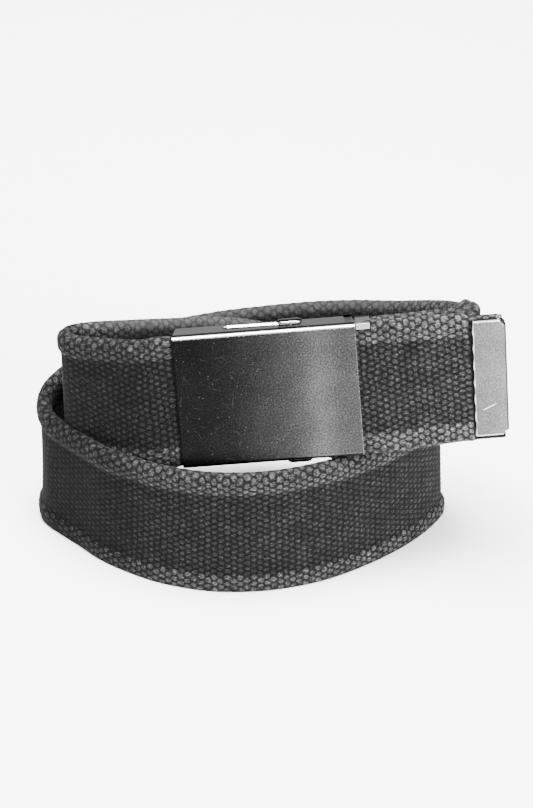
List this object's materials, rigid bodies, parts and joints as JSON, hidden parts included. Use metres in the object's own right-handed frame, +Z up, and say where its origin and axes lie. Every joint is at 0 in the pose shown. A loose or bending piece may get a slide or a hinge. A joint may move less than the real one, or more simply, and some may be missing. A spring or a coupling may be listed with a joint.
{
  "type": "web belt with box buckle",
  "caption": "Woven web belt wound into a coil and fastened, with a flat metal box buckle, a friction rod, an end clamp on the fixed end and a metal tip on the tail.",
  "frame": {"origin": "on the table, under the middle of the whole belt's bounding box", "axes": "+Z up, -Y towards the side that shows the buckle, +X along the coil towards the tail's metal tip"},
  "size_m": [0.1448, 0.0674, 0.0855],
  "materials": {
    "webbing": "coarse woven webbing, charcoal, lighter along both edges",
    "gunmetal": "satin dark plating with fine scratches",
    "dark_steel": "satin dark plating",
    "pale_steel": "satin light grey, a little mottled"
  },
  "bodies": {
    "root": {"webbing": "webbing", "buckle_plate": "gunmetal", "friction_rod": "dark_steel", "end_clamp": "dark_steel", "tip_clip": "pale_steel"}
  },
  "joints": []
}
